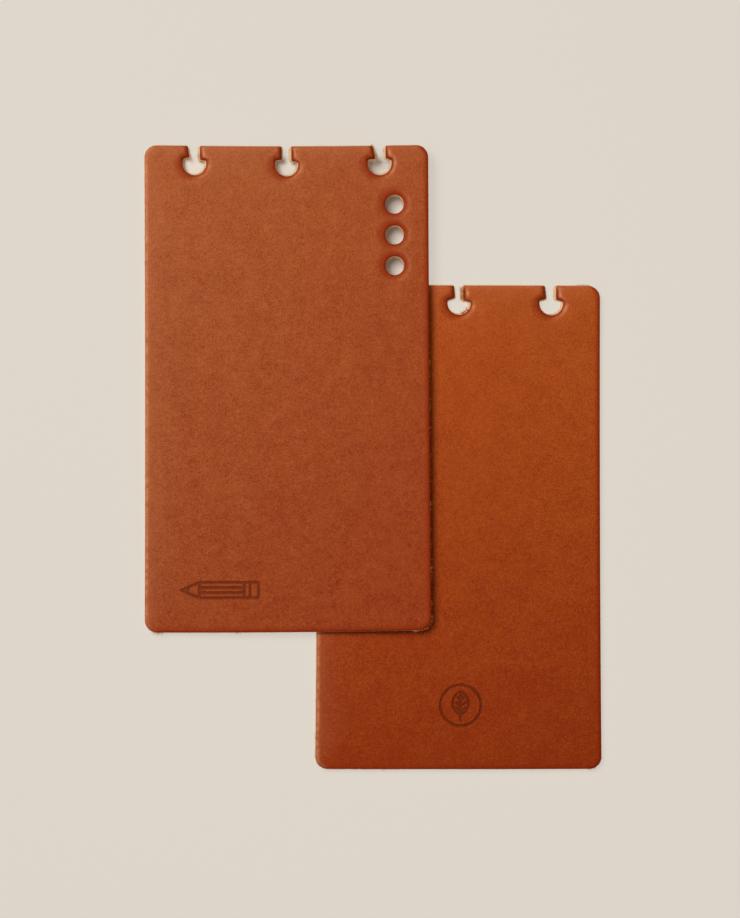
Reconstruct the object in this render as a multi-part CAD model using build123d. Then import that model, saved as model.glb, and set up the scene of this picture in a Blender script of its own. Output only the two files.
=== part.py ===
"""Leather cover set for a disc-bound pocket notebook: a front cover and a back cover.

Each cover is one piece of stiff leather, die-cut from the grain side. Its upper edge has a row of
mushroom-shaped notches, which snap onto the discs of the binding. The front cover also has three
round windows, which show the first marks on the card below. Each cover has a small blind-stamped
picture: a pencil on the front cover, a leaf in a ring on the back cover.

The covers lie as a loose pair: the back cover flat on the table, the front cover on top of it and
off to the upper left, so that it leans from the table over the back cover's left edge.

Millimetres, +Z up, +Y towards the binding edge, +X to the right. The origin is the middle of the
pair's footprint, on the table.
"""

import os
from math import asin, atan2, degrees, hypot

from build123d import *

# Leather
COVER_WIDTH = 78.2
COVER_LENGTH = 133.2
THICKNESS = 2.2
CORNER_RADIUS = 3.4
CUT_ROUNDING = 0.4  # the die rolls the grain side over at every cut edge

# Binding notches, in the upper edge
NOTCH_COUNT = 3
NOTCH_PITCH = 25.4
NECK_MOUTH = 3.1  # neck width at the cover's edge
NECK_THROAT = 2.6  # neck width where it meets the head
NECK_DEPTH = 3.85
HEAD_RADIUS = 3.4
HEAD_SHOULDER = 1.38  # from the head's centre up to its flat shoulders

# Windows, front cover only
WINDOW_COUNT = 3
WINDOW_RADIUS = 2.6
WINDOW_PITCH = 8.4
WINDOW_FROM_SIDE = 9.4
FIRST_WINDOW_FROM_TOP = 16.3

# Blind stamps: strokes pressed into the grain side
STAMP_DEPTH = 0.3
STROKE = 0.7
PENCIL_AT = (-18.3, -55.2)  # the pencil's middle, from the cover's middle
PENCIL_LENGTH = 21.8
PENCIL_HALF_WIDTH = 2.1
PENCIL_CONE = 5.0  # length of the sharpened end
PENCIL_LEAD = 1.7  # length of bare lead at the tip
PENCIL_FERRULE = 1.6
PENCIL_ERASER = 2.3
LEAF_AT = (0.6, -49.0)  # the ring's middle, from the cover's middle
RING_RADIUS = 5.6
LEAF_TIP = 3.7  # above the ring's middle
LEAF_FOOT = -2.5
LEAF_HALF_WIDTH = 2.2
LEAF_STALK = -4.1
VEIN_STARTS = (-1.7, -0.2, 1.3)  # heights at which pairs of veins leave the midrib
VEIN_REACH = (1.25, 1.35, 0.9)
VEIN_RISE = 0.95

# How the pair lies: the front cover's place from the back cover's
OFFSET_LEFT = 47.0
OFFSET_UP = 38.0
REST_GAP = 0.05  # air between the two pieces of leather where they touch


def notch():
    """One notch, with the cover's upper edge at Y 0: a tapered neck and a head with flat shoulders."""
    over = 1.0  # the cutter runs out past the edge
    spread = (NECK_MOUTH - NECK_THROAT) / 2 * over / NECK_DEPTH
    mouth, throat = NECK_MOUTH / 2 + spread, NECK_THROAT / 2
    below = -NECK_DEPTH - HEAD_SHOULDER
    neck = make_face(
        Polyline((-mouth, over), (mouth, over), (throat, below), (-throat, below), close=True)
    )
    shoulders = Pos(0, -NECK_DEPTH - 2 * HEAD_RADIUS) * Rectangle(4 * HEAD_RADIUS, 4 * HEAD_RADIUS)
    head = Pos(0, below) * Circle(HEAD_RADIUS) & shoulders
    return neck + head


def stroke(start, end):
    """One straight stroke of a stamp, with round ends."""
    run = Vector(*end) - Vector(*start)
    middle = (Vector(*start) + Vector(*end)) / 2
    slot = SlotCenterToCenter(run.length, STROKE, rotation=degrees(atan2(run.Y, run.X)))
    return Pos(middle.X, middle.Y) * slot


def strokes(*ends):
    """Several straight strokes, as one sketch."""
    return Sketch() + [stroke(start, end) for start, end in ends]


def pencil():
    """A pencil lying along X, tip to the left, centred on the origin."""
    half, tip = PENCIL_HALF_WIDTH, -(PENCIL_LENGTH - STROKE) / 2
    shoulder = tip + PENCIL_CONE
    lead = tip + PENCIL_LEAD
    end = -tip
    band = end - PENCIL_ERASER
    wood = band - PENCIL_FERRULE
    lead_half = half * PENCIL_LEAD / PENCIL_CONE
    facet = half / 3
    return strokes(
        ((tip, 0), (shoulder, half)),
        ((tip, 0), (shoulder, -half)),
        ((lead, -lead_half), (lead, lead_half)),
        ((shoulder, -half), (shoulder, half)),
        ((shoulder, half), (end, half)),
        ((shoulder, -half), (end, -half)),
        ((shoulder, facet), (wood, facet)),
        ((shoulder, -facet), (wood, -facet)),
        ((wood, -half), (wood, half)),
        ((band, -half), (band, half)),
        ((end, -half), (end, half)),
    )


def leaf():
    """A leaf standing in a ring, centred on the origin."""
    ring = Circle(RING_RADIUS + STROKE / 2) - Circle(RING_RADIUS - STROKE / 2)
    sides = Sketch()
    for side in (-1, 1):
        bulge = (side * LEAF_HALF_WIDTH, (LEAF_TIP + LEAF_FOOT) / 2)
        edge = ThreePointArc((0, LEAF_FOOT), bulge, (0, LEAF_TIP))
        sides += SlotArc(edge, STROKE)
    veins = [((0, LEAF_STALK), (0, LEAF_TIP))]
    for start, reach in zip(VEIN_STARTS, VEIN_REACH):
        veins += [((0, start), (side * reach, start + VEIN_RISE)) for side in (-1, 1)]
    return ring + sides + strokes(*veins)


def notched_outline():
    """The outline of a cover with its notches, centred on the origin."""
    outline = RectangleRounded(COVER_WIDTH, COVER_LENGTH, CORNER_RADIUS)
    for i in range(NOTCH_COUNT):
        x = (i - (NOTCH_COUNT - 1) / 2) * NOTCH_PITCH
        outline -= Pos(x, COVER_LENGTH / 2) * notch()
    return outline


def windows():
    """The column of round windows near the front cover's right side."""
    x = COVER_WIDTH / 2 - WINDOW_FROM_SIDE
    top = COVER_LENGTH / 2 - FIRST_WINDOW_FROM_TOP
    return [Pos(x, top - i * WINDOW_PITCH) * Circle(WINDOW_RADIUS) for i in range(WINDOW_COUNT)]


def cut_leather(outline):
    """The outline as leather of full thickness, with the grain side rolled over at the cut edges."""
    solid = extrude(outline, THICKNESS)
    grain_edges = solid.faces().sort_by(Axis.Z)[-1].edges()
    return fillet(grain_edges, CUT_ROUNDING)


def stamped(cover, picture, at):
    """The cover with a picture pressed into its grain side."""
    floor = Pos(*at, THICKNESS - STAMP_DEPTH) * picture
    return cover - extrude(floor, 2 * STAMP_DEPTH)


def lean():
    """Angle in radians at which the front cover leans on the rounded left edge of the back cover."""
    across = OFFSET_LEFT + CUT_ROUNDING
    up = THICKNESS - CUT_ROUNDING
    return atan2(up, across) + asin((CUT_ROUNDING + REST_GAP) / hypot(across, up))


def place_pair(front, back):
    """Both covers where they lie, with the middle of their footprint on the Z axis."""
    left = Pos(-COVER_WIDTH / 2 - OFFSET_LEFT, OFFSET_UP, 0)
    front = left * Rot(0, -degrees(lean()), 0) * Pos(COVER_WIDTH / 2, 0, 0) * front
    low, high = front.bounding_box(), back.bounding_box()
    middle_x = (low.min.X + high.max.X) / 2
    middle_y = (low.max.Y + high.min.Y) / 2
    centred = Pos(-middle_x, -middle_y, 0)
    return centred * front, centred * back


front_outline = notched_outline()
for window in windows():
    front_outline -= window
front_cover = stamped(cut_leather(front_outline), pencil(), PENCIL_AT)
back_cover = stamped(cut_leather(notched_outline()), leaf(), LEAF_AT)
front_cover, back_cover = place_pair(front_cover, back_cover)

os.makedirs("parts", exist_ok=True)
export_step(front_cover, "parts/front_cover.step")
export_step(back_cover, "parts/back_cover.step")
print("lean, degrees:", round(degrees(lean()), 3))
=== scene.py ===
"""Looks for a loose pair of leather notebook covers: the back cover flat, the front cover leaning on it.

Each cover is one closed mesh of die-cut leather. Its grain side rolls over at the cut edges and dips
around the notches and windows, its cut walls are pale, flared and ragged, and its flesh side is
suede. A second piece on each cover holds the loose fibres along its cut edges.

The shapes are worked out in millimetres, in a cover's own place: centred, flesh side at Z 0, binding
edge towards +Y. Each finished mesh is then moved to where its CAD part lies, in metres.
"""

from math import asin, atan2, cos, degrees, hypot, pi, radians, sin, sqrt
from typing import NamedTuple

import bpy
import numpy as np
from mathutils import Matrix, Vector, noise
from mathutils.geometry import delaunay_2d_cdt
from mathutils.kdtree import KDTree


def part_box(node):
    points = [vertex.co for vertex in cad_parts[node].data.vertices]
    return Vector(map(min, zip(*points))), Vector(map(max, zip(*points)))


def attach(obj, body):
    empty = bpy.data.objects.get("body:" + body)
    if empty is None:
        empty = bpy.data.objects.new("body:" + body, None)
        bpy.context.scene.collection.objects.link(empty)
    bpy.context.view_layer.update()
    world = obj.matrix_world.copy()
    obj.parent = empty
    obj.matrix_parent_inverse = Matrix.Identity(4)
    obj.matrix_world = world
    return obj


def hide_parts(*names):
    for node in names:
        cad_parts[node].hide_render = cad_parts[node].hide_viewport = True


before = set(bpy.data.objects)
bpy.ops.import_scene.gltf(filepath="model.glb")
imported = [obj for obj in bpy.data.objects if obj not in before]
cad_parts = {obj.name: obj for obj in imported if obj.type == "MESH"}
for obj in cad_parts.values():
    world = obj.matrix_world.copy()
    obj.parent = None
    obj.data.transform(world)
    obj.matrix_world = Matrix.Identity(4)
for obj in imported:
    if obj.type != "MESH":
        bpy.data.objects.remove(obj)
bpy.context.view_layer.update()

MM = 0.001

# The CAD parts' sizes, in millimetres
COVER_WIDTH = 78.2
COVER_LENGTH = 133.2
THICKNESS = 2.2
CORNER_RADIUS = 3.4
CUT_ROUNDING = 0.4
NOTCH_PITCH = 25.4
NOTCH_PLACES = (-NOTCH_PITCH, 0.0, NOTCH_PITCH)
NECK_DEPTH = 3.85
HEAD_RADIUS = 3.4
HEAD_SHOULDER = 1.38
NOTCH_BOTTOM = COVER_LENGTH / 2 - NECK_DEPTH - HEAD_SHOULDER - HEAD_RADIUS
WINDOW_RADIUS = 2.6
WINDOW_PITCH = 8.4
WINDOW_X = COVER_WIDTH / 2 - 9.4
WINDOW_TOP_Y = COVER_LENGTH / 2 - 16.3
STAMP_DEPTH = 0.3
STROKE = 0.7
PENCIL_AT = (-18.3, -55.2)
PENCIL_LENGTH = 21.8
PENCIL_HALF_WIDTH = 2.1
PENCIL_CONE = 5.0
PENCIL_LEAD = 1.7
PENCIL_FERRULE = 1.6
PENCIL_ERASER = 2.3
LEAF_AT = (0.6, -49.0)
RING_RADIUS = 5.6
LEAF_TIP = 3.7
LEAF_FOOT = -2.5
LEAF_HALF_WIDTH = 2.2
LEAF_STALK = -4.1
VEIN_STARTS = (-1.7, -0.2, 1.3)
VEIN_REACH = (1.25, 1.35, 0.9)
VEIN_RISE = 0.95
OFFSET_LEFT = 47.0
OFFSET_UP = 38.0
REST_GAP = 0.05

# How the leather is cut and shaped, in millimetres
SIDE_INSET = 0.06  # the grain side is this much smaller than the CAD part, at the sides and at the ends
END_INSET = 0.3
OUTER_FLARES = (0.12, 0.3, -0.1, 0.12)  # flare of the outer walls: left, top, right, bottom
TAB_BEVELS = (0.3, 0.85)  # flare of a notch's walls: in the shade, and towards the light
HEAD_BEVELS = (0.22, 0.55)
WINDOW_BEVELS = (0.0, 0.4)
LIGHT_SIDE = (-0.77, 0.64)  # the main light's side, as a unit direction
WINDOW_BEVEL_SIDE = (-0.5, -0.87)
# cut edges that face this way, towards the main light, get the painted highlight
PAINTED_HIGHLIGHT_SIDE = (-1.0, 0.0)
WRAP = 0.2  # a wall still counts as facing a side a little way round from it
ROLLS = {  # depths of the roll down to a cut: its long gentle part, and its short steep part
    "outer": (0.0, 0.2),
    "tab": (0.25, 0.5),
    "head": (0.1, 0.12),
    "lit": (0.38, 0.36),
    "window": (0.12, 0.12),
}
ROLL_REACHES = (2.6, 1.0)  # distances from the cut over which the two parts die away
ROLL_SPACING = 2  # every so many points of the cut edge count in a roll
LIP = (0.18, 0.14)  # the dyed skin's own edge, right at the cut: depth, and the distance it dies away over
LIP_START = 0.1  # rounds the lip off
TAB_DROOPS = ((0.25, 1.4), (0.45, 1.4))  # depth and reach of the pressed corners left and right of a neck
TAB_START = 0.6  # the tabs reach this far below their shoulders
NOTCH_MARGIN = 1.0  # the cut edge counts as a notch's this far beyond the head
CORNER_SOFTNESS = 0.28
SHAPE_BLEND = 0.48  # the cut's shape changes over this distance along it
STAMP_SLOPE = 0.28  # distance over which a stroke's side falls
WALL_CURVE = 2.5  # a wall flares out most near the grain side, and then drops

# Unevenness: height, size of the lumps, and a number that is added to the cover's seed
GRAIN_WAVES = ((0.05, 16, 0), (0.012, 4, 5))
CREASE_WANDER = (4, 1.6, 7)
# blotches in the painted highlight
PAINTED_HIGHLIGHT_LUMPS = (0.9, 1.3, 11)
WALL_RAGS = (0.05, 0.35, 9)  # strands in the cut wall
WALL_WAVES = (0.06, 1.3, 3)
FLESH_WAVES = (0.03, 6, 0)
RAGS_SHIFT = 3.1  # from one row of the cut wall to the next
WAVES_SHIFT = 0.9
FLESH_RISE = 0.03

# The meshes' points, in millimetres
FINE_STEP = 0.06
LOOP_STEP = 0.25
RINGS = (0.09, 0.2, 0.36, 0.58, 0.85, 1.15)  # distances of the rings of points inside the cut edge
DENSE_RINGS = 4  # the rings after these have half as many points
RING_SLACK = 0.97
GRID_STEP = 0.66
HOLE_GRID_STEP = 0.3
HOLE_GRID_REACH = 3.6
STAMP_GRID_STEP = 0.16
STAMP_MARGIN = 0.5
FLESH_STEP = 2.2
WALL_ROWS = (0.0, 0.08, 0.2, 0.36, 0.55, 0.75, 0.9, 1.0)  # down the cut wall, as shares of its height
WINDOW_POINTS = 90
SAME_POINT = 1e-7
MOVED_POINT = 1e-4
BATCH = 400  # points worked on together

# Where the leather's tone changes near a cut: painted shade and painted highlights, and its own burnished,
# stamped and dyed marks. Kinds of edge: outer, tab, head of a notch, window
# the first mark is painted shade and the third is a painted highlight with painted sheen; the others are the
# leather's own colour
MARKS = ("deep", "burnished", "painted_highlight", "pressed", "dyed")
PAINTED_SHADE_REACHES = (2.8, 0.9)  # painted shade beside a hole, a deeper orange: reach on the shaded side, and on the lit side
# painted shade beside the outer edge: reach on the shaded side, and on the lit side, where there is none
OUTER_PAINTED_SHADE_REACHES = (1.5, -0.6)
LEAST_REACH = 0.01
PAINTED_SHADE_FALL = 0.7
BLEND_WIDTH = 0.5  # marks of two cut edges blend where their distances differ by less than this
BLEND_SPACING = 8  # every so many points of the cut edge count in a blend
BLEND_COUNT = 24
TONE_BLEND = 1.8  # the reach of these marks changes over this distance along the cut
BURNISHED_KINDS = (0.0, 1.0, 0.15, 0.0)
BURNISHED = (0.4, 0.8)  # the burnished line: full up to this distance, gone at this one
PAINTED_HIGHLIGHT_KINDS = (0.45, 1.0, 0.6, 0.25)  # painted highlight: how much paler the leather is painted beside edges that face the light, where it bends down
PAINTED_HIGHLIGHT_AT = (0.45, 1.15, 0.85, 1.6)  # distance of the painted highlight's palest line from the cut
PAINTED_HIGHLIGHT_WIDTH = 0.45
PAINTED_HIGHLIGHT_MEAN = 0.8
PAINTED_SHEEN_KINDS = (0.2, 0.2, 0.08, 0.05)  # painted sheen: how much paler the leather is painted beside an edge; at the outer edge, only on the light's side
PAINTED_SHEEN_REACH = 3.5
DYED_FALL = 4  # the dye on the cut wall fades downwards as this power


class Notch(NamedTuple):
    """One cut notch, measured in millimetres from the middle of its place in the CAD part."""

    shift: tuple  # the head's middle
    radius: float
    neck: tuple  # the neck's walls: left mouth, left throat, right throat, right mouth
    shoulders: tuple  # above the CAD part's shoulders: left outer, left inner, right inner, right outer


class Cut(NamedTuple):
    """How one cover was really cut: its notches, and how far it is from a true rectangle."""

    notches: tuple
    corners: tuple  # shifts of the corners: top left, top right, bottom right, bottom left
    bows: tuple  # how far the middles of the left, top, right and bottom edges lie further in


class Crease(NamedTuple):
    """A patch of small parallel creases, in millimetres."""

    middle: tuple
    across: tuple  # unit direction across the creases
    spacing: float
    depth: float
    reach: float


FRONT_CUT = Cut(
    notches=(
        Notch((0.05, 0.28), 3.27, (-1.8, -1.3, 1.61, 1.61), (0.1, 0.6, -0.1, -0.4)),
        Notch((0.06, -0.01), 3.2, (-1.33, -1.25, 1.37, 1.37), (-0.15, 0.0, -0.3, -0.75)),
        Notch((0.28, 0.27), 3.33, (-1.6, -0.9, 1.93, 1.95), (-0.1, 0.1, 0.3, -0.35)),
    ),
    corners=((0.1, 0.22), (-0.38, 0.24), (0.45, 0.25), (0.14, -0.38)),
    bows=(0.15, 0.36, 0.1, -0.27),
)
BACK_CUT = Cut(
    notches=(
        Notch((0.2, 0.2), 3.3, (-1.5, -1.0, 1.5, 1.5), (-0.4, 0.1, -0.2, -0.7)),
        Notch((0.15, 0.2), 3.26, (-1.22, -0.95, 1.4, 1.4), (-0.45, 0.25, -0.45, -0.95)),
        Notch((0.2, 0.2), 3.33, (-1.6, -1.16, 1.6, 1.6), (-0.45, 0.05, -0.15, -0.75)),
    ),
    corners=((0.0, 0.05), (0.08, -0.04), (0.36, -0.28), (-0.31, 0.1)),
    bows=(0.33, 0.0, 0.22, -0.08),
)
FRONT_CREASES = (
    Crease((30.6, 62.4), (0.62, 0.78), 1.15, 0.1, 2.3),
    Crease((28.4, 65.2), (0.95, 0.3), 1.0, 0.12, 1.3),
)


# --- Outlines ---


def arc(centre, radius, start, end, count=40):
    """Points along a circle from one angle to another, in degrees."""
    angles = np.radians(np.linspace(start, end, count))
    return [(centre[0] + radius * cos(a), centre[1] + radius * sin(a)) for a in angles]


def resampled(points, step):
    """A closed outline as evenly spaced points, about step apart."""
    points = np.array(points, float)
    closed = np.vstack([points, points[:1]])
    along = np.concatenate([[0], np.cumsum(np.linalg.norm(np.diff(closed, axis=0), axis=1))])
    count = round(along[-1] / step)
    places = np.arange(count) * along[-1] / count
    return np.stack([np.interp(places, along, closed[:, k]) for k in (0, 1)], axis=1)


def averaged(values, reach):
    """Values at the points of a fine closed outline, averaged over reach millimetres to either side."""
    span = round(reach / FINE_STEP)
    weights = np.hanning(2 * span + 3)[1:-1]
    weights /= weights.sum()
    around = np.concatenate([values[-span:], values, values[:span]])
    return np.convolve(around, weights, "valid")


def softened(points, reach):
    """A closed outline with its corners rounded over about reach."""
    fine = resampled(points, FINE_STEP)
    return np.stack([averaged(fine[:, k], reach) for k in (0, 1)], axis=1)


def outward(points):
    """Unit normals of an outline, out of the leather: outlines run anticlockwise, holes clockwise."""
    tangents = np.roll(points, -1, axis=0) - np.roll(points, 1, axis=0)
    tangents /= np.linalg.norm(tangents, axis=1)[:, None]
    return np.stack([tangents[:, 1], -tangents[:, 0]], axis=1)


def notch_points(x, top, notch):
    """A notch in the upper edge, from the right of its mouth round its head to the left."""
    shoulder = COVER_LENGTH / 2 - NECK_DEPTH
    centre = (x + notch.shift[0], shoulder - HEAD_SHOULDER + notch.shift[1])
    left_mouth, left_throat, right_throat, right_mouth = (x + wall for wall in notch.neck)
    left_outer, left_inner, right_inner, right_outer = (shoulder + rise for rise in notch.shoulders)
    start = degrees(asin((right_outer - centre[1]) / notch.radius))
    end = -180 - degrees(asin((left_outer - centre[1]) / notch.radius))
    right = [(right_mouth, top), (right_throat, right_inner)]
    left = [(left_throat, left_inner), (left_mouth, top)]
    return right + arc(centre, notch.radius, start, end) + left


def outline_points(notches):
    """The grain side's outer edge, with its notches."""
    right = COVER_WIDTH / 2 - SIDE_INSET
    top = COVER_LENGTH / 2 - END_INSET
    radius = CORNER_RADIUS - SIDE_INSET
    x, y = right - radius, top - radius
    points = arc((-x, -y), radius, 180, 270) + arc((x, -y), radius, 270, 360)
    points += arc((x, y), radius, 0, 90)
    for notch_x, notch in reversed(list(zip(NOTCH_PLACES, notches))):
        points += notch_points(notch_x, top, notch)
    return points + arc((-x, y), radius, 90, 180)


def window_points(index):
    """One round window, clockwise."""
    centre = (WINDOW_X, WINDOW_TOP_Y - index * WINDOW_PITCH)
    return arc(centre, WINDOW_RADIUS, 360, 360 / WINDOW_POINTS, WINDOW_POINTS)


def warped(points, cut):
    """Points moved as the corners and bows of a cut say."""
    points = np.array(points, float)
    u = np.clip(points[:, 0] / COVER_WIDTH + 0.5, 0, 1)
    v = np.clip(points[:, 1] / COVER_LENGTH + 0.5, 0, 1)
    weights = np.stack([(1 - u) * v, u * v, u * (1 - v), (1 - u) * (1 - v)], axis=1)
    left, top, right, bottom = cut.bows
    bow_x = 4 * v * (1 - v) * (left * (1 - u) - right * u)
    bow_y = 4 * u * (1 - u) * (bottom * (1 - v) - top * v)
    return points + weights @ np.array(cut.corners) + np.stack([bow_x, bow_y], axis=1)


# --- Stamps ---


def leaf_side(side):
    """One bulging side of the leaf, as short straight strokes."""
    middle, half = (LEAF_TIP + LEAF_FOOT) / 2, (LEAF_TIP - LEAF_FOOT) / 2
    radius = (half**2 + LEAF_HALF_WIDTH**2) / (2 * LEAF_HALF_WIDTH)
    spread = degrees(asin(half / radius))
    points = arc((LEAF_HALF_WIDTH - radius, middle), radius, -spread, spread, 16)
    points = [(side * x, y) for x, y in points]
    return list(zip(points, points[1:]))


def leaf_strokes():
    """A leaf standing in a ring, as straight strokes about the ring's middle."""
    ring = arc((0, 0), RING_RADIUS, 0, 360, 72)
    strokes = list(zip(ring, ring[1:])) + leaf_side(-1) + leaf_side(1)
    strokes.append(((0, LEAF_STALK), (0, LEAF_TIP)))
    for start, reach in zip(VEIN_STARTS, VEIN_REACH):
        strokes += [((0, start), (side * reach, start + VEIN_RISE)) for side in (-1, 1)]
    return strokes


def pencil_strokes():
    """A pencil lying along X, tip to the left, as straight strokes about its middle."""
    half, tip = PENCIL_HALF_WIDTH, -(PENCIL_LENGTH - STROKE) / 2
    shoulder, lead, end = tip + PENCIL_CONE, tip + PENCIL_LEAD, -tip
    band = end - PENCIL_ERASER
    wood = band - PENCIL_FERRULE
    lead_half = half * PENCIL_LEAD / PENCIL_CONE
    strokes = [((lead, -lead_half), (lead, lead_half))]
    strokes += [((x, -half), (x, half)) for x in (shoulder, wood, band, end)]
    for edge in (-half, half):
        facet = edge / 3
        strokes.append(((tip, 0), (shoulder, edge)))
        strokes.append(((shoulder, edge), (end, edge)))
        strokes.append(((shoulder, facet), (wood, facet)))
    return strokes


def stroke_distance(points, strokes, at):
    """Each point's distance from the nearest stroke's middle line."""
    nearest = np.full(len(points), np.inf)
    for start, end in strokes:
        start, end = np.array(start) + at, np.array(end) + at
        run = end - start
        share = np.clip((points - start) @ run / (run @ run), 0, 1)
        nearest = np.minimum(nearest, np.linalg.norm(points - start - share[:, None] * run, axis=1))
    return nearest


# --- Meshes ---


def tree_of(outlines):
    """A search tree over the points of some outlines."""
    points = np.vstack(outlines)
    tree = KDTree(len(points))
    for index, point in enumerate(points):
        tree.insert((point[0], point[1], 0), index)
    tree.balance()
    return tree


def distances(points, tree):
    """Each point's distance from the nearest point of a search tree."""
    return np.array([tree.find((x, y, 0))[2] for x, y in points])


def in_notch(points):
    """Which points of the outer edge lie in a notch."""
    low = NOTCH_BOTTOM - NOTCH_MARGIN
    deep = (points[:, 1] < COVER_LENGTH / 2 - 2 * END_INSET) & (points[:, 1] > low)
    across = [np.abs(points[:, 0] - x) < HEAD_RADIUS + NOTCH_MARGIN for x in NOTCH_PLACES]
    return deep & np.any(across, axis=0)


def eased(share):
    """A share from 0 to 1 that starts and ends gently."""
    share = np.clip(share, 0, 1)
    return share * share * (3 - 2 * share)


def facing(normals, towards):
    """How much walls with these normals face a direction: 0 away from it, up to about 1 along it."""
    return eased((normals @ np.array(towards) + WRAP) / (1 + WRAP))


def wall_curve(share):
    """How much of its flare a wall has, at a share of the way down."""
    return 1 - (1 - share) ** WALL_CURVE


def between(low, high, share):
    """A value between low and high, by share."""
    return low + (high - low) * share


def uneven(points, kind, seed):
    """Smooth heights at 2-D points, up to the kind's height either way, in lumps of about its size."""
    height, size, added = kind
    return height * np.array([noise.noise((x / size, y / size, seed + added)) for x, y in points])


def hex_grid(low, high, step):
    """Points of a triangular grid over a rectangle."""
    rows = []
    for row, y in enumerate(np.arange(low[1], high[1], step * sqrt(3) / 2)):
        xs = np.arange(low[0] + step / 2 * (row % 2), high[0], step)
        rows.append(np.stack([xs, np.full(len(xs), y)], axis=1))
    return np.vstack(rows)


def triangles(points, outlines_at):
    """Triangles over points. outlines_at gives the (start, count) of the outer edge, then of each hole."""
    edges = []
    for start, count in outlines_at:
        edges += [(start + i, start + (i + 1) % count) for i in range(count)]
    result = delaunay_2d_cdt([Vector(p) for p in points], edges, [], 1, SAME_POINT)
    placed, faces = np.array([tuple(v) for v in result[0]]), np.array(result[2])
    assert len(placed) == len(points) and np.abs(placed - points).max() < MOVED_POINT
    for start, count in outlines_at[1:]:
        across = ((faces >= start) & (faces < start + count)).all(axis=1)
        faces = faces[~across]
    return faces


class Cover:
    """The geometry of one cover, in its own place, in millimetres."""

    def __init__(self, cut, windows, strokes, stamp_at, seed, creases=()):
        self.cut, self.seed, self.creases = cut, seed, creases
        self.strokes, self.stamp_at = strokes, np.array(stamp_at)
        shapes = [outline_points(cut.notches)] + [window_points(i) for i in range(windows)]
        shapes = [warped(resampled(shape, FINE_STEP), cut) for shape in shapes]
        self.fine = [softened(shape, CORNER_SOFTNESS) for shape in shapes]
        self.loops = [resampled(fine, LOOP_STEP) for fine in self.fine]
        self.cut_tree = tree_of(self.fine)
        notches = self.fine[0][in_notch(self.fine[0])]
        self.hole_trees = [tree_of([hole]) for hole in (notches, *self.fine[1:])]
        self.edge = np.vstack(self.fine)
        self.edge_normals = np.vstack([outward(loop) for loop in self.fine])
        self.lit = facing(self.edge_normals, LIGHT_SIDE)
        self.edge_flare = self.smoothed(self.wall_flare(), SHAPE_BLEND)
        self.edge_depths = [self.smoothed(depths, SHAPE_BLEND) for depths in self.roll_depths()]
        self.edge_marks = np.stack(self.mark_strengths())

    def by_kind(self, outer, in_tab, in_head, in_window):
        """Values along the cut edge, by the kind of each point."""
        window = np.arange(len(self.edge)) >= len(self.fine[0])
        notch = in_notch(self.edge) & ~window
        tab = notch & (self.edge[:, 1] > COVER_LENGTH / 2 - NECK_DEPTH - TAB_START)
        return np.where(window, in_window, np.where(tab, in_tab, np.where(notch, in_head, outer)))

    def wall_flare(self):
        """How far the foot of the wall stands out, along the cut edge."""
        sides = np.array([(-1, 0), (0, 1), (1, 0), (0, -1)])
        outer = np.clip(self.edge_normals @ sides.T, 0, 1) ** 2 @ np.array(OUTER_FLARES)
        in_tab, in_head = between(*TAB_BEVELS, self.lit), between(*HEAD_BEVELS, self.lit)
        in_window = between(*WINDOW_BEVELS, facing(self.edge_normals, WINDOW_BEVEL_SIDE))
        return self.by_kind(outer, in_tab, in_head, in_window)

    def roll_depths(self):
        """The depths of the roll's two parts, along the cut edge."""
        depths = []
        for outer, tab, head, lit, window in zip(*ROLLS.values()):
            in_tab, in_head = between(tab, lit, self.lit), between(head, lit, self.lit)
            depths.append(self.by_kind(outer, in_tab, in_head, window))
        return depths

    def mark_strengths(self):
        """Along the cut edge: burnishing, the painted highlight's strength and place, the painted shade's
        reach, the painted sheen.
        """
        # painted highlight beside cut edges that face the light
        painted_highlight = facing(self.edge_normals, PAINTED_HIGHLIGHT_SIDE) * self.by_kind(*PAINTED_HIGHLIGHT_KINDS)
        near = [self.by_kind(*BURNISHED_KINDS), painted_highlight, self.by_kind(*PAINTED_HIGHLIGHT_AT)]
        # painted shade: it reaches furthest beside edges that face away from the light
        hole = between(*PAINTED_SHADE_REACHES, self.lit)
        deep = self.by_kind(between(*OUTER_PAINTED_SHADE_REACHES, self.lit), hole, hole, hole)
        # painted sheen beside cut edges; at the outer edge only on the light's side
        painted_sheen = self.by_kind(PAINTED_SHEEN_KINDS[0] * self.lit, *PAINTED_SHEEN_KINDS[1:])
        near = [self.smoothed(values, SHAPE_BLEND) for values in near]
        return near + [self.smoothed(values, TONE_BLEND) for values in (deep, painted_sheen)]

    def smoothed(self, values, reach):
        """Values along the cut edge, averaged over reach millimetres to either side."""
        ends = np.cumsum([len(loop) for loop in self.fine[:-1]]).astype(int)
        return np.concatenate([averaged(part, reach) for part in np.split(values, ends)])

    def hole_distance(self, points):
        """Each point's distance from the nearest notch or window."""
        return np.minimum.reduce([distances(points, tree) for tree in self.hole_trees])

    def pressed(self, points):
        """How deep the stamp is at each point, from 0 to 1."""
        away = stroke_distance(points, self.strokes, self.stamp_at) - STROKE / 2
        return eased(0.5 - away / STAMP_SLOPE)

    def rolled(self, points, cut):
        """How far the grain side is rolled down at each point: the deepest of all the rolls near it."""
        depth = np.zeros(len(points))
        near = np.flatnonzero(cut < max(ROLL_REACHES))
        for some in np.array_split(near, max(1, len(near) // BATCH)):
            apart = points[some, None, :] - self.edge[None, ::ROLL_SPACING, :]
            away = np.sqrt((apart**2).sum(axis=2))
            bend = 0
            for deep, reach in zip(self.edge_depths, ROLL_REACHES):
                bend = bend + deep[::ROLL_SPACING] * np.clip(1 - away / reach, 0, 1) ** 2
            depth[some] = bend.max(axis=1)
        lip = np.exp(-(np.sqrt(cut**2 + LIP_START**2) - LIP_START) / LIP[1])
        return depth + LIP[0] * lip

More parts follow.
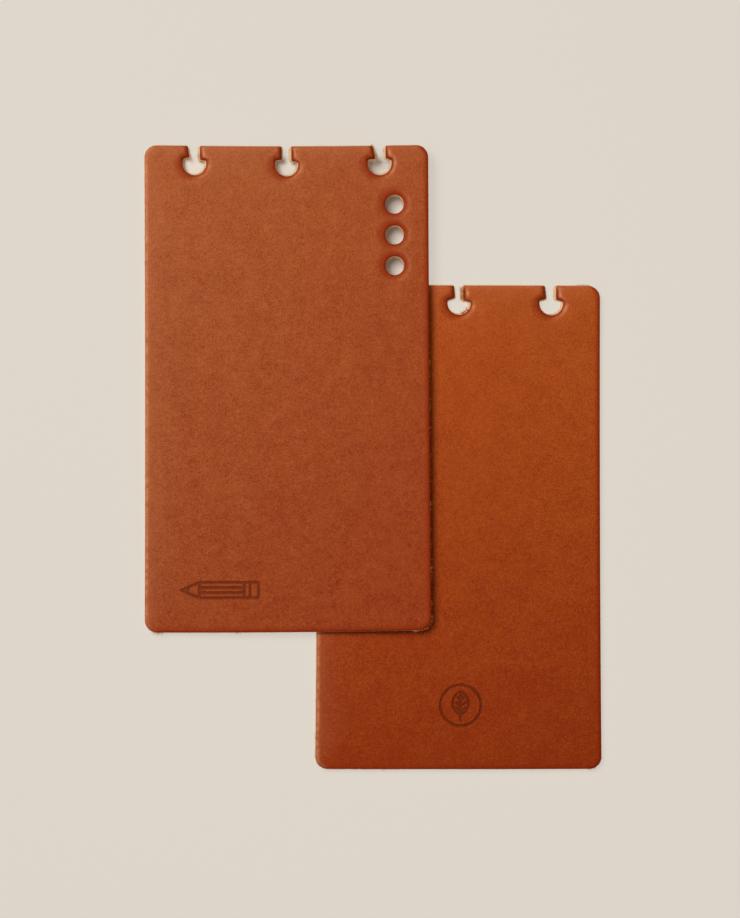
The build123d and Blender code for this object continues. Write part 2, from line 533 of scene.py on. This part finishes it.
    def drooped(self, points):
        """How far the free corners beside the necks are pressed down."""
        shoulder = COVER_LENGTH / 2 - NECK_DEPTH
        depth = np.zeros(len(points))
        for x, notch in zip(NOTCH_PLACES, self.cut.notches):
            corners = [(x + notch.neck[1], shoulder + notch.shoulders[1])]
            corners.append((x + notch.neck[2], shoulder + notch.shoulders[2]))
            for corner, (droop, reach) in zip(warped(corners, self.cut), TAB_DROOPS):
                away = np.linalg.norm(points - corner, axis=1)
                depth += droop * np.exp(-((away / reach) ** 2))
        return depth

    def creased(self, points):
        """How deep the small creases are, where a tab has been bent again and again."""
        depth = np.zeros(len(points))
        for crease in self.creases:
            offset = points - np.array(crease.middle)
            along = offset @ np.array(crease.across) / crease.spacing
            folds = 0.5 + 0.5 * np.sin(2 * pi * along + uneven(points, CREASE_WANDER, self.seed))
            depth += crease.depth * folds * np.exp(-(offset**2).sum(axis=1) / crease.reach**2)
        return depth

    def grain_height(self, points, cut):
        """The grain side's height at points, from their distances to the cut edge."""
        wave = sum(uneven(points, kind, self.seed) for kind in GRAIN_WAVES)
        down = self.rolled(points, cut) + self.drooped(points) + self.creased(points)
        return THICKNESS + wave - down - STAMP_DEPTH * self.pressed(points)

    def grain_points(self):
        """Points over the grain side: the cut edge, rings inside it, and grids, finer at holes and stamp."""
        rings = []
        for number, depth in enumerate(RINGS):
            ring = np.vstack([loop - outward(loop) * depth for loop in self.loops])
            ring = ring[:: 1 if number < DENSE_RINGS else 2]
            rings.append(ring[distances(ring, self.cut_tree) > depth * RING_SLACK])
        corner = np.array([COVER_WIDTH, COVER_LENGTH]) / 2
        grid = self.inner_grid(-corner, corner, GRID_STEP)
        grids = [grid[self.hole_distance(grid) > HOLE_GRID_REACH]]
        for low, high in self.hole_areas():
            grid = self.inner_grid(low, high, HOLE_GRID_STEP)
            grids.append(grid[self.hole_distance(grid) < HOLE_GRID_REACH - GRID_STEP / 2])
        fine = hex_grid(self.stamp_at - PENCIL_LENGTH, self.stamp_at + PENCIL_LENGTH, STAMP_GRID_STEP)
        fine = fine[stroke_distance(fine, self.strokes, self.stamp_at) < STROKE]
        return np.vstack(self.loops + rings + grids + [fine])

    def inner_grid(self, low, high, step):
        """A triangular grid over the leather in a rectangle, clear of the cut edge and of the stamp."""
        grid = hex_grid(low, high, step)
        clear = distances(grid, self.cut_tree) > RINGS[-1] + step / 2
        clear &= stroke_distance(grid, self.strokes, self.stamp_at) > STROKE + STAMP_MARGIN
        grid = grid[clear]
        return grid[self.in_leather(grid)]

    def hole_areas(self):
        """Rectangles round the row of notches and round the windows, as (low, high)."""
        reach = np.array([HOLE_GRID_REACH, HOLE_GRID_REACH])
        corner = np.array([COVER_WIDTH, COVER_LENGTH]) / 2
        bottom = NOTCH_BOTTOM - HOLE_GRID_REACH
        areas = [(np.array([-corner[0], bottom]), corner)]
        if len(self.fine) > 1:
            windows = np.vstack(self.fine[1:])
            low = windows.min(axis=0) - reach
            areas.append((low, np.array([windows[:, 0].max() + HOLE_GRID_REACH, bottom])))
        return areas

    def in_leather(self, points):
        """Which points lie on leather, by the side of the nearest point of the cut edge."""
        nearest = self.nearest_on_cut(points)
        return ((points - self.edge[nearest]) * self.edge_normals[nearest]).sum(axis=1) < 0

    def nearest_on_cut(self, points):
        """The number of the cut edge's point that is nearest to each point."""
        return np.array([self.cut_tree.find((x, y, 0))[1] for x, y in points])

    def marks_near(self, points):
        """The marks of the cut edges near each point, the nearer the more."""
        edge, marks = self.edge[::BLEND_SPACING], self.edge_marks[:, ::BLEND_SPACING]
        tree = tree_of([edge])
        found = np.array([[hit[1:] for hit in tree.find_n((x, y, 0), BLEND_COUNT)] for x, y in points])
        index, away = found[..., 0].astype(int), found[..., 1]
        share = np.exp((away[:, :1] - away) / BLEND_WIDTH)
        share /= share.sum(axis=1)[:, None]
        return (marks[:, index] * share).sum(axis=2)

    def grain_marks(self, points, cut):
        """Per-vertex marks of the grain side: painted shade, burnished, painted highlight with painted
        sheen, and pressed.
        """
        burnt, highlight_strength, highlight_at, reach, painted_sheen = self.marks_near(points)
        # painted shade: a deeper orange near the cut, reaching furthest on the side away from the light
        deep = np.clip(1 - cut / np.maximum(reach, LEAST_REACH), 0, 1) ** PAINTED_SHADE_FALL
        burnished = burnt * np.clip((BURNISHED[1] - cut) / (BURNISHED[1] - BURNISHED[0]), 0, 1)
        # painted highlight, in a line a set distance from the cut
        painted_highlight = highlight_strength * np.exp(-(((cut - highlight_at) / PAINTED_HIGHLIGHT_WIDTH) ** 2))
        painted_highlight *= PAINTED_HIGHLIGHT_MEAN + uneven(points, PAINTED_HIGHLIGHT_LUMPS, self.seed)
        # painted sheen, where there is no painted shade
        painted_highlight += painted_sheen * np.exp(-cut / PAINTED_SHEEN_REACH) * (1 - deep)
        return np.stack([deep, burnished, np.clip(painted_highlight, 0, 1), self.pressed(points)])

    def outlines_at(self):
        """Where each closed outline starts among the points, and its number of points."""
        starts = np.cumsum([0] + [len(loop) for loop in self.loops[:-1]])
        return [(int(start), len(loop)) for start, loop in zip(starts, self.loops)]

    def wall_rows(self, height):
        """Rows of vertices down the cut wall, below the row at the grain side with the given heights."""
        edge = np.vstack(self.loops)
        normals = np.vstack([outward(loop) for loop in self.loops])
        flare = self.edge_flare[self.nearest_on_cut(edge)]
        rows = []
        for row, share in enumerate(WALL_ROWS[1:], 1):
            out = flare * wall_curve(share)
            out += uneven(edge + row * RAGS_SHIFT, WALL_RAGS, self.seed) * sin(pi * share)
            out += uneven(edge + row * WAVES_SHIFT, WALL_WAVES, self.seed) * share
            rows.append(np.column_stack([edge + normals * out[:, None], height * (1 - share)]))
        return rows

    def wall_faces(self, rows):
        """Faces between rows that number the vertices down the wall."""
        faces = []
        for start, size in self.outlines_at():
            for upper, lower in zip(rows, rows[1:]):
                for i in range(start, start + size):
                    j = start + (i + 1 - start) % size
                    faces.append((upper[i], lower[i], lower[j], upper[j]))
        return faces

    def flesh_points(self, rim):
        """Points over the flesh side inside its rim, with their heights."""
        inner = hex_grid(rim.min(axis=0), rim.max(axis=0), FLESH_STEP)
        inner = inner[distances(inner, self.cut_tree) > FLESH_STEP / 2]
        inner = inner[self.in_leather(inner)]
        return np.column_stack([inner, FLESH_RISE + uneven(inner, FLESH_WAVES, self.seed)])

    def build(self):
        """All vertices, faces and per-vertex marks of the closed mesh."""
        top = self.grain_points()
        cut = distances(top, self.cut_tree)
        height = self.grain_height(top, cut)
        count = sum(len(loop) for loop in self.loops)
        walls = self.wall_rows(height[:count])
        rim = walls[-1][:, :2]
        inner = self.flesh_points(rim)
        vertices = np.vstack([np.column_stack([top, height]), *walls, inner])
        rows = [np.arange(count)] + [len(top) + np.arange(count) + row * count for row in range(len(walls))]
        index = np.concatenate([rows[-1], np.arange(len(vertices) - len(inner), len(vertices))])
        grain = triangles(top, self.outlines_at())
        flesh = index[triangles(np.vstack([rim, inner[:, :2]]), self.outlines_at())][:, ::-1]
        marks = np.zeros((len(MARKS), len(vertices)))
        marks[:-1, : len(top)] = self.grain_marks(top, cut)
        for row, share in zip(rows, WALL_ROWS):
            marks[-1, row] = (1 - share) ** DYED_FALL
        return vertices, (grain, self.wall_faces(rows), flesh), marks


# --- Fibres ---

FIBRE_RADIUS = 0.05
FIBRE_SIDES = 3
FIBRE_STEPS = 3
FIBRE_CURL = 0.6
FIBRE_END = 0.4  # a fibre's end is this share of its root's radius
FIBRE_ACROSS = (0.3, 0.5, 0.8)  # the first side of a fibre is square to this
FIBRE_RISE = 0.35  # how much a fibre heads up, to 1 out of the wall
FIBRE_LENGTHS = (0.4, 1.3)  # shortest and longest, as shares of the tuft's length
WALL_SHARES = (0.0, 0.6)  # where fibres grow on the wall, from the grain side down


class Tuft(NamedTuple):
    """Loose fibres on the cut wall near a point, in millimetres."""

    middle: tuple
    reach: float
    count: int
    length: float


FUZZ = Tuft((0, 0), COVER_LENGTH, 450, 0.3)
FRONT_TUFTS = (
    FUZZ,
    Tuft((24.0, 63.4), 1.0, 90, 1.0),
    Tuft((23.6, 65.2), 1.3, 40, 0.6),
    Tuft((-23.9, 62.8), 1.0, 16, 0.9),
    Tuft((-26.7, 63.0), 0.9, 30, 0.6),
    Tuft((39.0, -49.4), 0.9, 12, 0.6),
    Tuft((39.0, -51.7), 0.9, 10, 0.5),
    Tuft((39.0, -59.0), 0.9, 12, 0.6),
    Tuft((39.0, -20.0), 30.0, 60, 0.5),
    Tuft((38.2, -63.7), 2.2, 36, 0.6),
    Tuft((36.0, -66.2), 2.2, 24, 0.6),
    Tuft((-35.4, -66.4), 1.4, 40, 0.8),
    Tuft((-12.8, -66.4), 1.4, 20, 0.6),
)
BACK_TUFTS = (
    FUZZ,
    Tuft((1.4, 64.2), 1.7, 110, 0.8),
    Tuft((2.2, 58.6), 1.2, 60, 0.8),
    Tuft((34.5, 64.0), 3.0, 40, 0.5),
    Tuft((37.5, -65.0), 2.5, 40, 0.5),
    Tuft((-30.0, -66.4), 14.0, 120, 0.5),
    Tuft((-39.0, -20.0), 40.0, 60, 0.4),
)


def fibre_path(generator, root, heading, length):
    """The middle line of one curled fibre, which never goes below the floor."""
    path = [root]
    for _ in range(FIBRE_STEPS):
        heading = heading + generator.normal(0, FIBRE_CURL, 3)
        heading /= np.linalg.norm(heading)
        point = path[-1] + heading * length / FIBRE_STEPS
        point[2] = max(point[2], 2 * FIBRE_RADIUS)
        path.append(point)
    return np.array(path)


def fibre_rings(path):
    """Rings of vertices round a fibre, which gets thinner towards its end."""
    along = np.gradient(path, axis=0)
    side = np.cross(along, FIBRE_ACROSS)
    side /= np.linalg.norm(side, axis=1)[:, None]
    other = np.cross(along, side)
    other /= np.linalg.norm(other, axis=1)[:, None]
    radius = FIBRE_RADIUS * np.linspace(1, FIBRE_END, len(path))[:, None]
    turns = [2 * pi * k / FIBRE_SIDES for k in range(FIBRE_SIDES)]
    return np.stack([path + radius * (cos(turn) * side + sin(turn) * other) for turn in turns], axis=1)


def fibre_faces(start):
    """The faces of one closed tube whose vertices are numbered from start."""
    last = start + FIBRE_STEPS * FIBRE_SIDES
    faces = []
    for low in range(start, last, FIBRE_SIDES):
        high = low + FIBRE_SIDES
        for k in range(FIBRE_SIDES):
            after = (k + 1) % FIBRE_SIDES
            faces.append((low + k, low + after, high + after, high + k))
    faces.append(tuple(start + k for k in reversed(range(FIBRE_SIDES))))
    faces.append(tuple(last + k for k in range(FIBRE_SIDES)))
    return faces


def fibres(cover, tufts, seed):
    """All loose fibres of one cover, as closed thin tubes: their vertices and faces."""
    generator = np.random.default_rng(seed)
    tubes = []
    for tuft in tufts:
        near = np.flatnonzero(np.linalg.norm(cover.edge - np.array(tuft.middle), axis=1) < tuft.reach)
        for index in generator.choice(near, tuft.count):
            share = generator.uniform(*WALL_SHARES)
            out = cover.edge_normals[index]
            place = cover.edge[index] + out * cover.edge_flare[index] * wall_curve(share)
            root = np.array([*place, (THICKNESS - LIP[0]) * (1 - share)])
            length = tuft.length * generator.uniform(*FIBRE_LENGTHS)
            path = fibre_path(generator, root, np.array([*out, FIBRE_RISE]), length)
            tubes.append(fibre_rings(path).reshape(-1, 3))
    faces = [face for number, tube in enumerate(tubes) for face in fibre_faces(number * len(tube))]
    return np.vstack(tubes), faces


# --- Objects ---


def mesh_object(name, vertices, groups, place, materials):
    """A smooth-shaded object from vertices and groups of faces, one material for each group."""
    mesh = bpy.data.meshes.new(name)
    faces = [tuple(int(i) for i in face) for group in groups for face in group]
    mesh.from_pydata([tuple(v) for v in vertices], [], faces)
    mesh.transform(place)
    numbers = np.repeat(np.arange(len(groups)), [len(group) for group in groups])
    mesh.polygons.foreach_set("material_index", numbers.astype(np.int32))
    mesh.polygons.foreach_set("use_smooth", np.ones(len(faces), bool))
    for material in materials:
        mesh.materials.append(material)
    mesh.update()
    piece = bpy.data.objects.new(name, mesh)
    bpy.context.scene.collection.objects.link(piece)
    return piece


def add_marks(piece, marks):
    """Stores the per-vertex marks that the leather's material reads."""
    for name, values in zip(MARKS, marks):
        attribute = piece.data.attributes.new(name, "FLOAT", "POINT")
        attribute.data.foreach_set("value", values.astype(np.float32))


# --- Where the covers lie ---


def lean():
    """Angle in radians at which the front cover leans on the rounded left edge of the back cover."""
    across = OFFSET_LEFT + CUT_ROUNDING
    up = THICKNESS - CUT_ROUNDING
    return atan2(up, across) + asin((CUT_ROUNDING + REST_GAP) / hypot(across, up))


def places():
    """The front and back covers' matrices, from their own places in millimetres to the row frame."""
    low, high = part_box("back_cover")
    middle = (low + high) / 2
    back = Matrix.Translation((middle.x, middle.y, low.z)) @ Matrix.Scale(MM, 4)
    left_edge = Matrix.Translation((-COVER_WIDTH / 2 - OFFSET_LEFT, OFFSET_UP, 0))
    leaning = back @ left_edge @ Matrix.Rotation(-lean(), 4, "Y")
    return leaning @ Matrix.Translation((COVER_WIDTH / 2, 0, 0)), back


# --- Materials ---

SWING = 0.27  # the leather's tone swings this far either way from its middle
DYE_POWERS = (1.0, 2.3, 3.8)  # darker leather is also more saturated: green and blue fall faster than red
MOTTLES = ((9.0, 0.2), (4.5, 0.22), (2.2, 0.3), (1.0, 0.5), (0.45, 1.1), (0.28, 0.9))  # size, contrast
MOTTLE_HEIGHTS = ((0.45, 0.052), (1.0, 0.042), (2.2, 0.06))  # size, and the height that it stands for
GLOSS_MOTTLE = 2.2
GRAIN_ROUGHNESS = (0.28, 0.34)
PORE_SIZE = 0.5
PORE_EDGE = 0.2  # the gap between two pores, as a share of a pore
PORE_DEPTH = 0.05
PORE_STRENGTH = 0.8
GRAIN_SPECULAR = 0.07
FRONT_COLOUR = (0.405, 0.0605, 0.0087)
BACK_COLOUR = (0.46, 0.0665, 0.0053)
# the painted shade's colour
PAINTED_SHADE_COLOUR = (0.33, 0.024, 0.0004)
# the colour of the painted highlight and painted sheen
PAINTED_HIGHLIGHT_COLOUR = (0.80, 0.30, 0.13)
BURNISHED_COLOUR = (0.17, 0.026, 0.007)
PRESSED_COLOUR = (0.13, 0.020, 0.005)
PAINTED_SHADE_SHARE = 0.95  # how strongly each mark shows
PAINTED_HIGHLIGHT_SHARE = 1.0
BURNISHED_SHARE = 0.55
PRESSED_SHARE = 0.7
PAINTED_SHEEN_TINTS = ((1.0, 1.25, 1.5), (1.0, 0.75, 0.5))  # painted sheen: tints of the palest leather, towards the light, and of the richest, away from it
FRONT_PAINTED_LIGHT_FADE = 1.9  # painted light: the tone rises towards the key light's side: see grain_leather
BACK_PAINTED_LIGHT_FADE = 5.0
# painted sheen: the leather gets richer this way, away from the light, for each metre
FRONT_PAINTED_SHEEN_AXIS = (7.5, -3.5, 0)
BACK_PAINTED_SHEEN_AXIS = (0.5, 0, 0)
RAW_COLOURS = ((0.80, 0.50, 0.26), (0.98, 0.82, 0.55))
RAW_STAIN = (0.72, 0.38, 0.16)
RAW_DYE = (0.80, 0.30, 0.09)
RAW_DYE_SHARE = 0.7
FIBRE_COLOURS = ((0.80, 0.30, 0.08), (0.95, 0.62, 0.30))
FLESH_COLOURS = ((0.40, 0.20, 0.09), (0.55, 0.30, 0.15))
NAP_COLOUR = (0.64, 0.42, 0.25)
MIX_SOCKETS = (0, 6, 7)  # the Mix node's share, and its first and second colours
MIX_RESULT = 2


class Nodes:
    """Makes a material and its nodes in few words."""

    def __init__(self, name):
        self.material = bpy.data.materials.new(name)
        self.material.use_nodes = True
        self.tree = self.material.node_tree
        self.tree.nodes.clear()
        self.place = self.add("TexCoord").outputs["Object"]

    def add(self, kind, inputs=None, **settings):
        """A shader node with its settings, and its inputs set to values or linked to sockets."""
        node = self.tree.nodes.new("ShaderNode" + kind)
        for name, value in settings.items():
            setattr(node, name, value)
        for name, value in (inputs or {}).items():
            if isinstance(value, bpy.types.NodeSocket):
                self.tree.links.new(value, node.inputs[name])
            else:
                node.inputs[name].default_value = value
        return node

    def noise(self, size, detail=2.0, roughness=0.5, stretch=None):
        """Noise with lumps of about size millimetres, as a value from 0 to 1."""
        vector = self.place
        if stretch:
            vector = self.add("Mapping", {"Vector": vector, "Scale": stretch}).outputs["Vector"]
        inputs = {"Vector": vector, "Scale": 1 / (size * MM), "Detail": detail, "Roughness": roughness}
        return self.add("TexNoise", inputs).outputs["Fac"]

    def mark(self, name):
        """A per-vertex mark of the mesh."""
        return self.add("Attribute", attribute_name=name).outputs["Fac"]

    def math(self, operation, *values, clamp=False):
        """One arithmetic step."""
        return self.add("Math", dict(enumerate(values)), operation=operation, use_clamp=clamp).outputs[0]

    def spread(self, value, low, high, to_low=0.0, to_high=1.0):
        """A value stretched from one range to another, and kept inside it."""
        inputs = {"Value": value, "From Min": low, "From Max": high, "To Min": to_low, "To Max": to_high}
        return self.add("MapRange", inputs).outputs["Result"]

    def mix(self, share, first, second, blend="MIX"):
        """Two colours mixed."""
        node = self.add("Mix", data_type="RGBA", blend_type=blend)
        for index, value in zip(MIX_SOCKETS, (share, first, second)):
            if isinstance(value, bpy.types.NodeSocket):
                self.tree.links.new(value, node.inputs[index])
            else:
                node.inputs[index].default_value = (*value, 1) if isinstance(value, tuple) else value
        return node.outputs[MIX_RESULT]

    def bump(self, height, distance, strength=1.0, normal=None):
        """A normal bent by a height from 0 to 1 that stands for distance millimetres."""
        inputs = {"Height": height, "Distance": distance * MM, "Strength": strength}
        if normal:
            inputs["Normal"] = normal
        return self.add("Bump", inputs).outputs["Normal"]

    def finish(self, colour, roughness, normal, **others):
        """Ends the tree in a Principled shader."""
        inputs = {"Base Color": colour, "Roughness": roughness, "Normal": normal, **others}
        shader = self.add("BsdfPrincipled", inputs)
        output = self.add("OutputMaterial")
        self.tree.links.new(shader.outputs["BSDF"], output.inputs["Surface"])
        return self.material


def grain_leather(name, middle, painted_light_fade, painted_sheen_axis):
    """The smooth dyed side: mottled at several sizes, painted shade of a deeper orange near holes, and dark
    in stamps.

    Beside a notch it is burnished dark, and painted paler where it bends down towards the light: a painted
    highlight, with a painted sheen beside the cut edges. Painted light makes the tone rise towards the
    binding edge, the key light's side, by a given amount for each metre, and a painted sheen makes the
    colour richer along a given direction, away from the light.
    """
    n = Nodes(name)
    light = tuple(c * (1 + SWING) ** power for c, power in zip(middle, DYE_POWERS))
    dark = tuple(c * (1 - SWING) ** power for c, power in zip(middle, DYE_POWERS))
    place = n.add("SeparateXYZ", {"Vector": n.place})
    # painted light: the tone rises towards the binding edge, the key light's side
    tone = n.math("MULTIPLY_ADD", place.outputs["Y"], painted_light_fade, 0.5)
    layers = {}
    for size, contrast in MOTTLES:
        layers[size] = n.noise(size, 1.0, 0.5)
        tone = n.math("ADD", tone, n.math("MULTIPLY_ADD", layers[size], contrast, -contrast / 2))
    colour = n.mix(tone, dark, light)
    # painted sheen: paler towards the light, richer away from it
    across = n.add("VectorMath", {0: n.place, 1: painted_sheen_axis}, operation="DOT_PRODUCT").outputs["Value"]
    away_from_sheen = n.math("ADD", across, 0.5, clamp=True)
    colour = n.mix(1.0, colour, n.mix(away_from_sheen, *PAINTED_SHEEN_TINTS), "MULTIPLY")
    # painted shade beside the cuts
    colour = n.mix(n.math("MULTIPLY", n.mark("deep"), PAINTED_SHADE_SHARE), colour, PAINTED_SHADE_COLOUR)
    # painted highlight and painted sheen beside the cuts
    colour = n.mix(n.math("MULTIPLY", n.mark("painted_highlight"), PAINTED_HIGHLIGHT_SHARE), colour, PAINTED_HIGHLIGHT_COLOUR)
    colour = n.mix(n.math("MULTIPLY", n.mark("burnished"), BURNISHED_SHARE), colour, BURNISHED_COLOUR)
    colour = n.mix(n.math("MULTIPLY", n.mark("pressed"), PRESSED_SHARE), colour, PRESSED_COLOUR)
    cell = {"Vector": n.place, "Scale": 1 / (PORE_SIZE * MM)}
    gaps = n.add("TexVoronoi", cell, feature="DISTANCE_TO_EDGE").outputs["Distance"]
    normal = n.bump(n.spread(gaps, 0.0, PORE_EDGE), PORE_DEPTH, PORE_STRENGTH)
    for size, height in MOTTLE_HEIGHTS:
        normal = n.bump(layers[size], height, 1.0, normal)
    roughness = n.spread(layers[GLOSS_MOTTLE], 0.3, 0.7, *GRAIN_ROUGHNESS)
    return n.finish(colour, roughness, normal, **{"Specular IOR Level": GRAIN_SPECULAR})


def raw_edge():
    """The die-cut wall: fibrous and pale, and stained with dye near the grain side."""
    n = Nodes("raw_edge")
    strands = n.noise(0.25, 3.0, 0.7, (1, 1, 0.4))
    stains = n.noise(1.5, 2.0, 0.5)
    colour = n.mix(n.spread(strands, 0.35, 0.65), *RAW_COLOURS)
    colour = n.mix(n.spread(stains, 0.5, 0.8, 0, 0.4), colour, RAW_STAIN)
    colour = n.mix(n.math("MULTIPLY", n.mark("dyed"), RAW_DYE_SHARE), colour, RAW_DYE)
    normal = n.bump(strands, 0.15, 0.6)
    return n.finish(colour, 0.85, normal)


def loose_fibres():
    """Fibres that stand out of the cut walls, partly dyed."""
    n = Nodes("loose_fibres")
    stains = n.noise(0.8, 2.0, 0.5)
    colour = n.mix(n.spread(stains, 0.35, 0.65), *FIBRE_COLOURS)
    return n.finish(colour, 0.8, n.add("NewGeometry").outputs["Normal"])


def flesh_side():
    """The underside: suede, with a fine nap."""
    n = Nodes("flesh_side")
    nap = n.noise(0.4, 4.0, 0.7)
    patches = n.noise(9, 3.0, 0.6)
    colour = n.mix(n.spread(patches, 0.35, 0.65), *FLESH_COLOURS)
    colour = n.mix(n.spread(nap, 0.35, 0.7), colour, NAP_COLOUR)
    normal = n.bump(nap, 0.2, 0.8)
    return n.finish(colour, 0.95, normal)


LIT_FLOOR = 0.786  # what the lights alone give the floor
FLOOR_TARGET = (0.7305, 0.6724, 0.5972)  # how bright the floor looks
OPEN_SHARE = 0.2  # the lights' share of the open floor's brightness: the rest is glow, which hides shadows
COVERED_SHARE = 0.95
FLOOR_LIFT = (0.766, -0.643, 0)  # the key light is weaker this way, so the floor is paler
FLOOR_LIFT_SHARE = 0.147  # how much weaker at FLOOR_LIFT_REACH metres
FLOOR_LIFT_REACH = 0.15
COVERED_MARGIN = 0.002  # the glow changes over this distance inside the front cover's outline
OPEN_STRIP = 2.25  # the open floor's glow reaches this many millimetres in from the binding edge


def covered(n):
    """1 under the front cover at rest, but for a strip along its binding edge, and 0 around it."""
    low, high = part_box("front_cover")
    top = high.y - OPEN_STRIP * MM
    place = n.add("SeparateXYZ", {"Vector": n.place})
    outside = []
    for axis, start, end in (("X", low.x, high.x), ("Y", low.y, top)):
        centred = n.math("SUBTRACT", place.outputs[axis], (start + end) / 2)
        outside.append(n.math("SUBTRACT", n.math("ABSOLUTE", centred), (end - start) / 2))
    return n.spread(n.math("MAXIMUM", *outside), -COVERED_MARGIN, 0, 1, 0)


def floor_material():
    """A plain pale surface that looks even where nothing shades it, with faint shadows on its open part.

    Its colour is paler where it glows less, and where the key light is weaker.
    """
    n = Nodes("floor")
    share = n.spread(covered(n), 0, 1, OPEN_SHARE, COVERED_SHARE)
    level = n.math("DIVIDE", share, LIT_FLOOR)
    glow = n.math("MULTIPLY_ADD", n.math("DIVIDE", 1.0, share), LIT_FLOOR, -LIT_FLOOR)
    across = n.add("VectorMath", {0: n.place, 1: FLOOR_LIFT}, operation="DOT_PRODUCT").outputs["Value"]
    most = FLOOR_LIFT_SHARE * LIT_FLOOR
    lift = n.spread(across, -FLOOR_LIFT_REACH, FLOOR_LIFT_REACH, -most, most)
    shade = n.math("MULTIPLY_ADD", lift, level, 1.0)
    colour = n.mix(1.0, FLOOR_TARGET, n.math("MULTIPLY", shade, level), "MULTIPLY")
    others = {"Emission Color": colour, "Emission Strength": glow, "Specular IOR Level": 0.0}
    return n.finish(colour, 0.9, n.add("NewGeometry").outputs["Normal"], **others)


# --- Scene ---

CAMERA_TARGET = (-0.0007, -0.0003, 0)
CAMERA_DISTANCE = 0.9
CAMERA_LENS = 128.4
CAMERA_TURN = (0.36, -2.86, -0.05)  # degrees about X, Y and Z, away from straight down
CAMERA_NEAR = 0.01
LIGHTS = (  # name, size, power and place
    ("key", 0.38, 4.25, (-0.287, 0.241, 0.65)),
    ("fill_lower_left", 0.6, 0.6, (-0.45, -0.5, 0.55)),
    ("fill_lower_right", 0.6, 0.2, (0.5, -0.45, 0.55)),
    ("fill_upper_right", 0.6, 0.3, (0.5, 0.5, 0.55)),
)
WORLD_COLOUR = (1.0, 0.97, 0.94, 1)
WORLD_STRENGTH = 0.1
FLOOR_HALF_WIDTH = 4.0
FLOOR_DROP = 0.00005  # keeps the floor just clear of the covers' undersides


def add_light(name, size, power, at):
    """A soft square area light, pointed at the middle of the covers."""
    lamp = bpy.data.lights.new(name, "AREA")
    lamp.size = size
    lamp.energy = power
    light = bpy.data.objects.new(name, lamp)
    light.location = at
    light.rotation_euler = (-Vector(at)).to_track_quat("-Z", "Y").to_euler()
    bpy.context.scene.collection.objects.link(light)




def add_camera():
    """The camera: almost straight above the covers."""
    camera = bpy.data.objects.new("camera", bpy.data.cameras.new("camera"))
    camera.data.lens = CAMERA_LENS
    camera.rotation_euler = [radians(turn) for turn in CAMERA_TURN]
    back = camera.rotation_euler.to_matrix() @ Vector((0, 0, 1))
    camera.location = Vector(CAMERA_TARGET) + CAMERA_DISTANCE * back
    camera.data.clip_start = CAMERA_NEAR
    bpy.context.scene.collection.objects.link(camera)
    bpy.context.scene.camera = camera


def add_floor():
    """A wide pale floor under the covers."""
    half = FLOOR_HALF_WIDTH
    corners = [(-half, -half, 0), (half, -half, 0), (half, half, 0), (-half, half, 0)]
    mesh = bpy.data.meshes.new("floor")
    mesh.from_pydata(corners, [], [(0, 1, 2, 3)])
    mesh.materials.append(floor_material())
    floor = bpy.data.objects.new("floor", mesh)
    floor.location.z = -FLOOR_DROP
    bpy.context.scene.collection.objects.link(floor)


def add_world():
    """Even pale light from all round."""
    world = bpy.data.worlds.new("studio")
    world.use_nodes = True
    background = world.node_tree.nodes["Background"]
    background.inputs["Color"].default_value = WORLD_COLOUR
    background.inputs["Strength"].default_value = WORLD_STRENGTH
    bpy.context.scene.world = world


def add_cover(name, cover, place, materials, body):
    """Builds one cover."""
    vertices, groups, marks = cover.build()
    piece = mesh_object(name, vertices, groups, place, materials)
    add_marks(piece, marks)
    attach(piece, body)
    return piece


def add_fibres(name, cover, tufts, seed, place, material, body):
    """Builds one cover's loose fibres."""
    vertices, faces = fibres(cover, tufts, seed)
    piece = mesh_object(name, vertices, (faces,), place, (material,))
    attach(piece, body)
    return piece


WINDOWS = 3

bpy.context.scene.view_settings.view_transform = "Standard"
add_camera()
add_world()
for light_settings in LIGHTS:
    add_light(*light_settings)
add_floor()

front_place, back_place = places()
raw, flesh, loose = raw_edge(), flesh_side(), loose_fibres()
front_grain = grain_leather("front_grain", FRONT_COLOUR, FRONT_PAINTED_LIGHT_FADE, FRONT_PAINTED_SHEEN_AXIS)
back_grain = grain_leather("back_grain", BACK_COLOUR, BACK_PAINTED_LIGHT_FADE, BACK_PAINTED_SHEEN_AXIS)

back_cover = Cover(BACK_CUT, 0, leaf_strokes(), LEAF_AT, 20.0)
back = add_cover("back_leather_sheet", back_cover, back_place, (back_grain, raw, flesh), "back")
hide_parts("back_cover")
back_fibres = add_fibres("back_fibres", back_cover, BACK_TUFTS, 7, back_place, loose, "back")

front_cover = Cover(FRONT_CUT, WINDOWS, pencil_strokes(), PENCIL_AT, 50.0, FRONT_CREASES)
front = add_cover("front_leather_sheet", front_cover, front_place, (front_grain, raw, flesh), "front")
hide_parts("front_cover")
front_fibres = add_fibres("front_fibres", front_cover, FRONT_TUFTS, 8, front_place, loose, "front")
